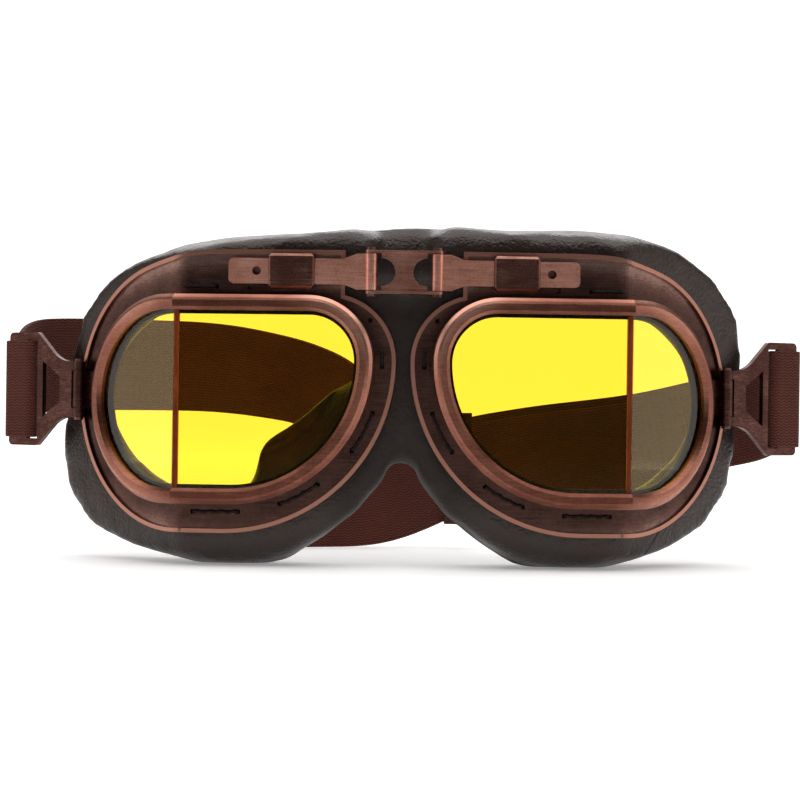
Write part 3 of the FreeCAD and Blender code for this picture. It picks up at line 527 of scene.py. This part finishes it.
# the pads in the photograph differ from the plain form: x and drop of the left crown, then by angle round the
# middle of the pad the lean of the hollow's wall with depth, the least radius of the hollow, the edge of the left
# cheek and the fullness of the temples
padMiddle = (47.0, 45.2)
padHollow = (33.5, 25.5)
crownDrop = ((-90, 0), (-78, 0.6), (-70, 1.8), (-60, 2.2), (-50, 2.2), (-26, 1.6), (-12, 1.0), (0, 0.3))
hollowLean = ((120, 4.5), (141, 1.8), (153, 0), (166, -2.7), (180, -4.5), (208, -4.5), (222, -2.3), (236, 0.9),
              (250, 4.5))
hollowEdge = ((112, 27), (133, 33), (141, 36), (148, 38), (156, 38.5), (164, 37.8), (173, 36.2), (183, 34.4),
              (193, 32.8), (210, 30.4), (225, 28.4), (244, 26))
cheekEdge = ((166, 38), (173, 31.5), (176, 26.4), (185, 22.3), (196, 19.0), (213, 15.6), (224, 14.8), (234, 15.0),
             (243, 17.6), (252, 23.0), (264, 28))
templeFull = {
    "right": ((2, 0), (14, 2.0), (26, 3.9), (40, 4.4), (56, 3.9), (66, 3.0), (78, 1.8), (92, 0.9), (112, 0)),
    "left": ((290, 0), (305, 1.2), (318, 2.6), (328, 3.0), (340, 2.2), (352, 0.8), (360, 0)),
}
# over which depths, radii and levels these changes come in; lean is the hollow's lean elsewhere
padReach = dict(
    lean=4.5, leanDepth=28, cheekDepth=(8, 19), hollowRadius=50, fullRadius=(34, 46), crownLevel=(66, 86),
)
# places where the leather is loose and rucks up: x, level, reach
loosePlaces = ((-85, 19, 15), (-80, 74, 10), (66, 86, 12), (40, 4, 12))


def reshape(skin):
    for vertex in skin.data.vertices:
        x, level = vertex.co.x / mm, vertex.co.z / mm
        depth = (vertex.co.y - frontY) / mm
        sign = -1 if x < 0 else 1
        across, up = abs(x) - padMiddle[0], level - padMiddle[1]
        radius = math.hypot(across, up)
        angle = math.degrees(math.atan2(up, across)) % 360
        wall = 1 / math.hypot(across / radius / padHollow[0], up / radius / padHollow[1])
        lean = valueAt(hollowLean, angle) or padReach["lean"]
        wall += lean * min(max(depth / padReach["leanDepth"], 0), 1)
        edge = valueAt(hollowEdge, angle)
        want = max(wall, edge) if edge else wall
        if sign < 0:
            cheek = valueAt(cheekEdge, angle)
            if cheek:
                want += (cheek - want) * ease(depth, *padReach["cheekDepth"])
        moved = radius + (want - wall) * (1 - ease(radius, wall, padReach["hollowRadius"]))
        full = valueAt(templeFull["left" if sign < 0 else "right"], angle)
        if full:
            moved += full * ease(radius, *padReach["fullRadius"])
        vertex.co.x = sign * (padMiddle[0] + across * moved / radius) * mm
        vertex.co.z = (padMiddle[1] + up * moved / radius) * mm
        drop = valueAt(crownDrop, x)
        if drop:
            vertex.co.z -= drop * ease(level, *padReach["crownLevel"]) * mm


def bridgeRoll():
    deselect()
    bpy.ops.mesh.primitive_circle_add(vertices=len(bridgeOutline), radius=1, fill_type="NGON")
    roll = bpy.context.active_object
    for corner, (depth, level) in zip(roll.data.vertices, bridgeOutline):
        corner.co = place(-leather["bridgeHalf"], depth, level)
    bpy.ops.object.mode_set(mode="EDIT")
    bpy.ops.mesh.select_all(action="SELECT")
    bpy.ops.mesh.extrude_region_move(TRANSFORM_OT_translate={"value": (2 * leather["bridgeHalf"] * mm, 0, 0)})
    bpy.ops.mesh.select_all(action="SELECT")
    bpy.ops.mesh.normals_make_consistent(inside=False)
    bpy.ops.object.mode_set(mode="OBJECT")
    return roll


def rounded(skin):
    # turns the front of the skin back as it leaves the plates, and tells how firmly the plates hold each point
    plates = surfaceOf("left_eyecup", "right_eyecup")
    held = []
    for vertex in skin.data.vertices:
        gap = plates.find_nearest(vertex.co)[3]
        held.append(1 - ease(gap, leather["pinned"] * mm, leather["loose"] * mm))
        depth = (vertex.co.y - frontY) / mm
        past = min(max(gap / mm - leather["roundStart"], 0), leather["round"] * leather["roundShare"])
        turned = leather["round"] - math.sqrt(leather["round"] ** 2 - past ** 2)
        vertex.co.y += turned * (1 - ease(depth, *leather["roundFade"])) * mm
    return held


def swell(skin, held):
    rest = [v.co.copy() for v in skin.data.vertices]
    group = skin.vertex_groups.new(name="held")
    slack = skin.vertex_groups.new(name="slack")
    for index, share in enumerate(held):
        group.add([index], share, "REPLACE")
        spot = rest[index] / mm
        loose = max(1 - ease(math.hypot(spot.x - x, spot.z - z), reach / 2, reach) for x, z, reach in loosePlaces)
        slack.add([index], loose, "REPLACE")
    cloth = skin.modifiers.new("cloth", "CLOTH")
    cloth.settings.quality = cushion["quality"]
    cloth.settings.mass = cushion["mass"]
    cloth.settings.tension_stiffness = cushion["stiff"]
    cloth.settings.compression_stiffness = cushion["stiff"]
    cloth.settings.bending_stiffness = cushion["bending"]
    cloth.settings.use_pressure = True
    cloth.settings.uniform_pressure_force = cushion["press"]
    cloth.settings.vertex_group_shrink = "slack"
    cloth.settings.shrink_min = -cushion["grow"]
    cloth.settings.shrink_max = -cushion["ruck"]
    cloth.settings.vertex_group_mass = "held"
    cloth.settings.effector_weights.gravity = 0
    cloth.collision_settings.use_collision = False
    for step in range(1, cushion["frames"] + 1):
        scene.frame_set(step)
    pick(skin)
    bpy.ops.object.modifier_apply(modifier="cloth")
    scene.frame_set(1)
    skin.vertex_groups.clear()
    for vertex, start, share in zip(skin.data.vertices, rest, held):
        move = vertex.co - start
        limit = cushion["cap"] * mm * (1 - share)
        if move.length > limit:
            move *= limit / move.length
        vertex.co = start + move
        vertex.co.z = max(vertex.co.z, cushion["lowest"] * mm)


def parted(skin, name, low, high):
    half = skin.copy()
    half.data = skin.data.copy()
    scene.collection.objects.link(half)
    pick(half)
    for edge, outward in ((low, -1), (high, 1)):
        if edge is None:
            continue
        bpy.ops.object.mode_set(mode="EDIT")
        bpy.ops.mesh.select_all(action="SELECT")
        bpy.ops.mesh.bisect(plane_co=(edge * mm, 0, 0), plane_no=(outward, 0, 0), use_fill=True,
                            clear_outer=True, threshold=mergeGap * mm)
        bpy.ops.object.mode_set(mode="OBJECT")
    named(half, name)
    painted(half, "leather")
    smoothed(half, leather["smooth"])
    return half


def makeLeather():
    skin = copied("skin", "left_face_pad", "right_face_pad")
    roll = bridgeRoll()
    deselect()
    roll.select_set(True)
    skin.select_set(True)
    bpy.context.view_layer.objects.active = skin
    bpy.ops.object.join()
    applied(skin, "REMESH", mode="VOXEL", voxel_size=leather["voxel"] * mm)
    reshape(skin)
    applied(skin, "REMESH", mode="VOXEL", voxel_size=leather["voxel"] * mm)
    factor, iterations = leather["soften"]
    applied(skin, "SMOOTH", factor=factor, iterations=iterations)
    held = rounded(skin)
    swell(skin, held)
    factor, iterations = leather["settle"]
    applied(skin, "SMOOTH", factor=factor, iterations=iterations)
    applied(skin, "SUBSURF", levels=1, render_levels=1)
    inner, outer = leather["innerSplit"], leather["outerSplit"]
    for side, sign in sides.items():
        spans = {"face_pad_skin": (outer, None), "nose_fold": (inner, outer), "nose_roll": (0, inner)}
        made = {}
        for part, (low, high) in spans.items():
            if sign < 0:
                low, high = (None if high is None else -high), -low
            made[part] = parted(skin, f"{side}_{part}", low, high)
        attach(made["face_pad_skin"], f"{side}_cup")
        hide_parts(f"{side}_face_pad")
        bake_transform(made["nose_fold"], f"{side}_arm", f"{side}_cup", start=place(sign * inner, 0, 0),
                 end=place(sign * outer, 0, 0))
        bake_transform(made["nose_roll"], "bridge", f"{side}_arm", start=place(0, 0, 0),
                 end=place(sign * inner, 0, 0))
        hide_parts("nose_gusset")
    bpy.data.objects.remove(skin)
    print("leather done")


makeLeather()


# elastic straps: plan is x and depth behind the front, rise is distance along the band and level, lean is
# distance along the band and its tilt in degrees
straps = {
    "right": dict(
        plan=((107.5, 46.0), (107, 60), (92, 70), (56, 78), (22, 92), (-4, 95), (-20, 93), (-36, 85)),
        rise=((0, 46.4), (6, 45.6), (12, 44), (18, 42.3), (24, 41), (31, 39.6), (43, 36.6), (54, 34.2), (67, 32.4),
              (79, 31), (90, 29.3), (102, 27.2), (108, 25.4), (114, 22.7), (120, 19.9), (126, 17), (132, 15),
              (138, 13.9), (170, 13.8)),
        # this strap takes the finish with painted shade
        lean=((0, 0), (170, 0)), finish="shaded_webbing",
    ),
    "left": dict(
        plan=((-107.5, 45.4), (-108, 60), (-95, 73), (-62, 89), (-38, 107), (-18, 108), (-5, 98.5), (24, 95.1)),
        rise=((0, 47.6), (8, 50.5), (16, 53.4), (24, 54.2), (40, 54.4), (60, 54.5), (72, 54.2), (84, 53.2),
              (96, 51.4), (102, 50.2), (108, 48.4), (114, 45.6), (120, 41.2), (126, 35.6), (132, 30.2), (139, 26.8),
              (145, 26), (170, 26)),
        lean=((0, 0), (60, 0), (90, 18), (106, 24), (124, 20), (140, 0), (170, 0)), finish="webbing",
    ),
}
# the ends are where a band passes from body to body; levels are averaged over levelSteps along it; rows run from
# -0.5 to 0.5 across it, and cutSlack is a share of a step
band = dict(
    width=27.0, thickness=1.5, step=1.6, rows=9, edge=0.35, smooth=50, buckleEnd=26.0, cupEnd=40.0, armEnd=150.0,
    levelSteps=(-5, -2.5, 0, 2.5, 5), edgeRow=0.49, cutSlack=0.01,
)
# the right strap is doubled: from and to along the band, how far the second layer lies in front of it and below
doubled = dict(start=40.6, end=101.0, ahead=1.75, below=2.3)
upright = ((-1, 0), (999, 0))


def strapLine(plan, rise):
    curve = bpy.data.curves.new("route", "CURVE")
    curve.dimensions = "3D"
    spline = curve.splines.new("NURBS")
    spline.points.add(len(plan) - 1)
    for point, (x, y) in zip(spline.points, plan):
        point.co = (*place(x, y, 0), 1)
    spline.order_u = 3
    spline.use_endpoint_u = True
    spline.resolution_u = 40
    route = bpy.data.objects.new("route", curve)
    scene.collection.objects.link(route)
    traced = bpy.data.meshes.new_from_object(route)
    flat = [v.co.copy() for v in traced.vertices]
    bpy.data.objects.remove(route)
    bpy.data.meshes.remove(traced)
    run = 0
    last = flat[0].copy()
    for point in flat:
        run += (point.xy - last.xy).length / mm
        last = point.copy()
        near = [valueAt(rise, max(run + shift, 0)) for shift in band["levelSteps"]]
        point.z = sum(near) / len(near) * mm
    return flat


def evenPoints(line, step):
    marks = [0.0]
    for a, b in zip(line, line[1:]):
        marks.append(marks[-1] + (b - a).length)
    count = max(2, round(marks[-1] / step))
    points = []
    index = 0
    for k in range(count + 1):
        want = marks[-1] * k / count
        while index < len(line) - 2 and marks[index + 1] < want:
            index += 1
        share = (want - marks[index]) / max(marks[index + 1] - marks[index], 1e-9)
        points.append(line[index].lerp(line[index + 1], share))
    return points, marks[-1]


def ribbon(name, points, start, wall, finish="webbing", lean=upright):
    # a grid bent to the route: columns along the band, rows across it
    columns = len(points) - 1
    deselect()
    bpy.ops.mesh.primitive_grid_add(x_subdivisions=columns, y_subdivisions=band["rows"], size=1, calc_uvs=True)
    piece = named(bpy.context.active_object, name)
    runs = [start]
    for a, b in zip(points, points[1:]):
        runs.append(runs[-1] + (b - a).length)
    keys = [(round((v.co.x + 0.5) * columns), v.co.y) for v in piece.data.vertices]
    uvs = piece.data.uv_layers.active.data
    for loop in piece.data.loops:
        column, row = keys[loop.vertex_index]
        uvs[loop.index].uv = (runs[column], (row + 0.5) * band["width"] * mm)
    for vertex, (column, row) in zip(piece.data.vertices, keys):
        ahead = points[min(column + 1, columns)] - points[max(column - 1, 0)]
        ahead.normalize()
        up = (Vector((0, 0, 1)) - ahead * ahead.z).normalized()
        up.rotate(Matrix.Rotation(math.radians(valueAt(lean, runs[column] / mm)), 3, ahead))
        vertex.co = points[column] + up * (row * band["width"] * mm)
    applied(piece, "SOLIDIFY", thickness=wall * mm, offset=-1, use_even_offset=True)
    # only the long edges are rounded, so that pieces of one strap meet flush
    weights = piece.data.attributes.new("bevel_weight_edge", "FLOAT", "EDGE").data
    for edge in piece.data.edges:
        first, second = (keys[index % len(keys)] for index in edge.vertices)
        if first[0] != second[0] and first[1] == second[1] and abs(first[1]) > band["edgeRow"]:
            weights[edge.index].value = 1
    applied(piece, "BEVEL", width=band["edge"] * mm, segments=2, limit_method="WEIGHT")
    painted(piece, finish)
    smoothed(piece, band["smooth"])
    return piece


def sliced(whole, name, low, high):
    piece = whole.copy()
    piece.data = whole.data.copy()
    scene.collection.objects.link(piece)
    pick(piece)
    named(piece, name)
    bpy.ops.object.mode_set(mode="EDIT")
    bpy.ops.mesh.select_mode(type="FACE")
    bpy.ops.mesh.select_all(action="DESELECT")
    bpy.ops.object.mode_set(mode="OBJECT")
    uvs = piece.data.uv_layers.active.data
    for face in piece.data.polygons:
        middle = sum(uvs[index].uv.x for index in face.loop_indices) / len(face.loop_indices)
        face.select = not low <= middle <= high
    bpy.ops.object.mode_set(mode="EDIT")
    bpy.ops.mesh.delete(type="FACE")
    bpy.ops.mesh.select_mode(type="EDGE")
    bpy.ops.mesh.select_non_manifold()
    bpy.ops.mesh.fill_holes(sides=0)
    bpy.ops.mesh.select_all(action="SELECT")
    bpy.ops.mesh.normals_make_consistent(inside=False)
    bpy.ops.object.mode_set(mode="OBJECT")
    smoothed(piece, band["smooth"])
    return piece


def makeStraps():
    for side, route in straps.items():
        line = strapLine(route["plan"], route["rise"])
        points, length = evenPoints(line, band["step"] * mm)
        step = length / (len(points) - 1)
        ends = [round(band[end] * mm / step) for end in ("buckleEnd", "cupEnd", "armEnd")]
        cuts = [0, *ends, len(points) - 1]
        buckle, cup, arm = f"{side}_buckle", f"{side}_cup", f"{side}_arm"
        joins = ((buckle, cup), (cup, arm), (arm, "bridge"), None)
        names = ("strap_end", "strap_turn", "strap_side", "strap_back")
        whole = ribbon(f"{side}_strap_whole", points, 0, band["thickness"], route["finish"], route["lean"])
        for name, join, first, last in zip(names, joins, cuts, cuts[1:]):
            low, high = first - band["cutSlack"], last + band["cutSlack"]
            piece = sliced(whole, f"{side}_{name}", low * step, high * step)
            if join:
                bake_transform(piece)
            else:
                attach(piece, "bridge")
                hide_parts(f"{side}_strap")
            (last - first) * step
        bpy.data.objects.remove(whole)
        if side == "right":
            first, last = (round(doubled[end] * mm / step) for end in ("start", "end"))
            shift = Vector((0, -doubled["ahead"], -doubled["below"])) * mm
            layer = [spot + shift for spot in points[first:last + 1]]
            piece = ribbon("right_strap_double", layer, first * step, band["thickness"], route["finish"],
                           route["lean"])
            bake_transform(piece)
            (last - first) * step
    print("straps done")


makeStraps()


# strap end sewn round the outer bar of each buckle: middles of its two bends along the buckle, half depth of the
# fold, turn of the buckle at rest
loopCare = dict(start=17.2, end=23.3, half=2.05, turn=30.0, wall=1.5, step=0.5, bendSteps=12)


def makeLoops():
    for side, sign in sides.items():
        pivot = Vector(joints[f"{side}_buckle_hinge"]["pos_m"])
        half = loopCare["half"]
        ring = []
        for middle, first in ((loopCare["end"], -90), (loopCare["start"], 90)):
            for k in range(loopCare["bendSteps"] + 1):
                turn = math.radians(first + 180 * k / loopCare["bendSteps"])
                ring.append(Vector((middle + half * math.cos(turn), half * math.sin(turn), 0)))
        ring.append(ring[0].copy())
        points, length = evenPoints(ring, loopCare["step"])
        turn = Matrix.Rotation(math.radians(loopCare["turn"]), 3, "Z")
        spots = []
        for point in points:
            spot = turn @ point * mm
            spots.append(pivot + Vector((sign * spot.x, spot.y, 0)))
        if sign < 0:
            spots.reverse()
        piece = ribbon(f"{side}_strap_fold", spots, 0, loopCare["wall"])
        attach(piece, f"{side}_buckle")
        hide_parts(f"{side}_strap_loop")
        length * mm
    print("strap ends done")


makeLoops()


# amber glue line where the two lenses meet, in front of the joint
seamCare = dict(x=60.3, depth=1.85, width=1.3, wall=0.24, low=21.1, high=68.2, edge=0.06)


def onCup(sign, x, depth, level):
    spot = Vector((x - cupTurn["x"], depth - bridgePinDepth, 0))
    spot.rotate(Matrix.Rotation(math.radians(cupTurn["angle"]), 3, "Z"))
    return place(sign * (spot.x + cupTurn["x"]), spot.y + bridgePinDepth, level)


def makeSeams():
    low, high = seamCare["low"], seamCare["high"]
    size = Vector((seamCare["width"], seamCare["wall"], high - low))
    for side, sign in sides.items():
        deselect()
        bpy.ops.mesh.primitive_cube_add(size=1)
        strip = named(bpy.context.active_object, f"{side}_lens_seam")
        tilt = Matrix.Rotation(math.radians(sign * (cupTurn["bend"] / 2 + cupTurn["angle"])), 3, "Z")
        middle = onCup(sign, seamCare["x"], seamCare["depth"], (low + high) / 2)
        for vertex in strip.data.vertices:
            vertex.co = middle + tilt @ (vertex.co * size) * mm
        applied(strip, "BEVEL", width=seamCare["edge"] * mm, segments=2)
        strip.data.materials.append(finishes["amber"])
        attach(strip, f"{side}_cup")
    print("seams done")


makeSeams()


# thread that sews the leather to each cup, from hole to hole round the rim; wave and swelling are uneven along it
threadCare = dict(
    radius=0.46, depth=5.75, sink=1.3, step=0.6, bedShare=0.55, smooth=60,
    wave=0.16, waveStep=1.7, swelling=0.22, swellStep=2.3,
)
threadArc = dict(x=46.3, level=55.2, radius=40.6)
# two of the stitches are straight, the others follow the arc by angle
threadLines = (((50.2, 74.7), (59.1, 74.7)), ((55.9, 14.6), -94))
threadTurns = ((250, 234), (216, 200), (182, 176))
rayStart = 0.02  # in front of the rims


def onArc(angle):
    turn = math.radians(angle)
    return (threadArc["x"] + threadArc["radius"] * math.cos(turn),
            threadArc["level"] + threadArc["radius"] * math.sin(turn))


def threadPaths():
    paths = []
    for first, last in threadLines:
        if not isinstance(last, tuple):
            last = onArc(last)
        count = max(3, round(math.dist(first, last) / threadCare["step"]))
        paths.append([(first[0] + (last[0] - first[0]) * k / count, first[1] + (last[1] - first[1]) * k / count)
                      for k in range(count + 1)])
    for first, last in threadTurns:
        count = max(3, round(math.radians(abs(last - first)) * threadArc["radius"] / threadCare["step"]))
        paths.append([onArc(first + (last - first) * k / count) for k in range(count + 1)])
    return paths


def makeThreads():
    for side, sign in sides.items():
        plate = surfaceOf(f"{side}_eyecup")
        curve = bpy.data.curves.new("thread", "CURVE")
        curve.dimensions = "3D"
        curve.bevel_depth = threadCare["radius"] * mm
        curve.bevel_resolution = 2
        curve.use_fill_caps = True
        for path in threadPaths():
            spline = curve.splines.new("POLY")
            spline.points.add(len(path) - 1)
            for index, (point, (x, z)) in enumerate(zip(spline.points, path)):
                spot = onCup(sign, x, threadCare["depth"], z)
                hit = plate.ray_cast(Vector((spot.x, frontY - rayStart, spot.z)), Vector((0, 1, 0)))[0]
                if index in (0, len(path) - 1):
                    spot.y += threadCare["sink"] * mm
                elif hit:
                    spot.y = hit.y - threadCare["radius"] * threadCare["bedShare"] * mm
                spot.z += threadCare["wave"] * mm * math.sin(index * threadCare["waveStep"] + x)
                point.co = (*spot, 1)
                point.radius = 1 + threadCare["swelling"] * math.sin(index * threadCare["swellStep"] + x)
        tube = bpy.data.objects.new("thread", curve)
        scene.collection.objects.link(tube)
        mesh = bpy.data.meshes.new_from_object(tube)
        bpy.data.objects.remove(tube)
        piece = named(bpy.data.objects.new(f"{side}_stitch_thread", mesh), f"{side}_stitch_thread")
        scene.collection.objects.link(piece)
        painted(piece, "thread")
        smoothed(piece, threadCare["smooth"])
        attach(piece, f"{side}_cup")
    print("threads done")


makeThreads()


# studio: pale floor that sweeps up behind and at the sides, dark near the camera; lengths in metres
studio = dict(
    floorHalf=2.4, cells=48, sweepStart=1.3, sweepRise=2.4, near=(-0.66, -0.44), far=(1.0, 1.6), glowStart=0.25,
    nearTone=0.10, floorTone=0.92, sideTone=(0.46, 0.39, 0.35), rough=0.8, floorGlow=0.25, sweepGlow=0.85,
    aim=0.045, dim=0.05, world=0.34, worldFade=(-0.85, -0.35), worldTint=(1.0, 0.96, 0.93),
)
# soft boxes above, at the sides and behind: place, size, power
boxes = (
    ("top_box", (0.0, -0.12, 0.72), (1.3, 0.85), 6.5),
    ("left_box", (-0.95, -0.17, 0.24), (0.5, 0.7), 1.0),
    ("right_box", (0.95, -0.17, 0.24), (0.5, 0.7), 1.0),
    ("back_box", (0.0, 0.75, 0.70), (1.2, 0.5), 3.0),
)


def makeFloor():
    deselect()
    bpy.ops.mesh.primitive_grid_add(x_subdivisions=studio["cells"], y_subdivisions=studio["cells"],
                                    size=2 * studio["floorHalf"])
    floor = named(bpy.context.active_object, "floor")
    start = studio["sweepStart"]
    for vertex in floor.data.vertices:
        past = max(vertex.co.y - start, abs(vertex.co.x) - start, 0)
        vertex.co.z = studio["sweepRise"] * (past / (studio["floorHalf"] - start)) ** 2
    material, shader, field = startFinish(
        "pale_floor", {"Roughness": studio["rough"], "Emission Strength": studio["sweepGlow"]})
    x, y = field.coords().split()[:2]
    near = y.spread(*studio["near"])
    far = abs(x).spread(*studio["far"])
    tone = near.tint((0, grey(studio["nearTone"])), (1, grey(studio["floorTone"])))
    floorShare = studio["floorGlow"] / studio["sweepGlow"]
    lit = y.spread(studio["glowStart"], start) * (1 - floorShare)
    glow = (lit + floorShare) * near * (1 - far)
    field.feed(shader.inputs["Base Color"], far.blend(tone, (*studio["sideTone"], 1)))
    field.feed(shader.inputs["Emission Color"], glow.tint((0, grey(0)), (1, grey(1))))
    floor.data.materials.append(material)
    smoothed(floor)


def makeLights():
    for name, spot, (wide, tall), power in boxes:
        light = bpy.data.lights.new(name, "AREA")
        light.shape = "RECTANGLE"
        light.size, light.size_y = wide, tall
        light.energy = power
        lamp = bpy.data.objects.new(name, light)
        lamp.location = spot
        lamp.rotation_euler = (Vector((0, 0, studio["aim"])) - Vector(spot)).to_track_quat("-Z", "Y").to_euler()
        scene.collection.objects.link(lamp)
    world = bpy.data.worlds.new("studio")
    world.use_nodes = True
    sky = Field(world.node_tree)
    y = sky.node("TexCoord", {}, {}, "Generated").split()[1]
    shade = y.spread(*studio["worldFade"], studio["dim"], studio["world"])
    background = world.node_tree.nodes["Background"]
    sky.feed(background.inputs["Color"], shade.tint((0, grey(0)), (1, studio["worldTint"])))
    scene.world = world
    scene.view_settings.view_transform = "Standard"


makeFloor()
makeLights()
print("studio done")


# the photograph's view: level with the lenses, a little rolled, framed a little to the right of the bridge
view = dict(distance=600.0, across=0.1, level=45.1, roll=-0.8, wide=210.4, sensor=36.0, shift=-0.00375)


def makeCamera():
    data = bpy.data.cameras.new("camera")
    data.sensor_width = view["sensor"]
    data.lens = view["sensor"] * view["distance"] / view["wide"]
    data.shift_x = view["shift"]
    camera = bpy.data.objects.new("camera", data)
    camera.location = place(view["across"], -view["distance"], view["level"])
    camera.rotation_euler = (math.radians(90), math.radians(view["roll"]), 0)
    scene.collection.objects.link(camera)
    scene.camera = camera
    print("camera done")


makeCamera()
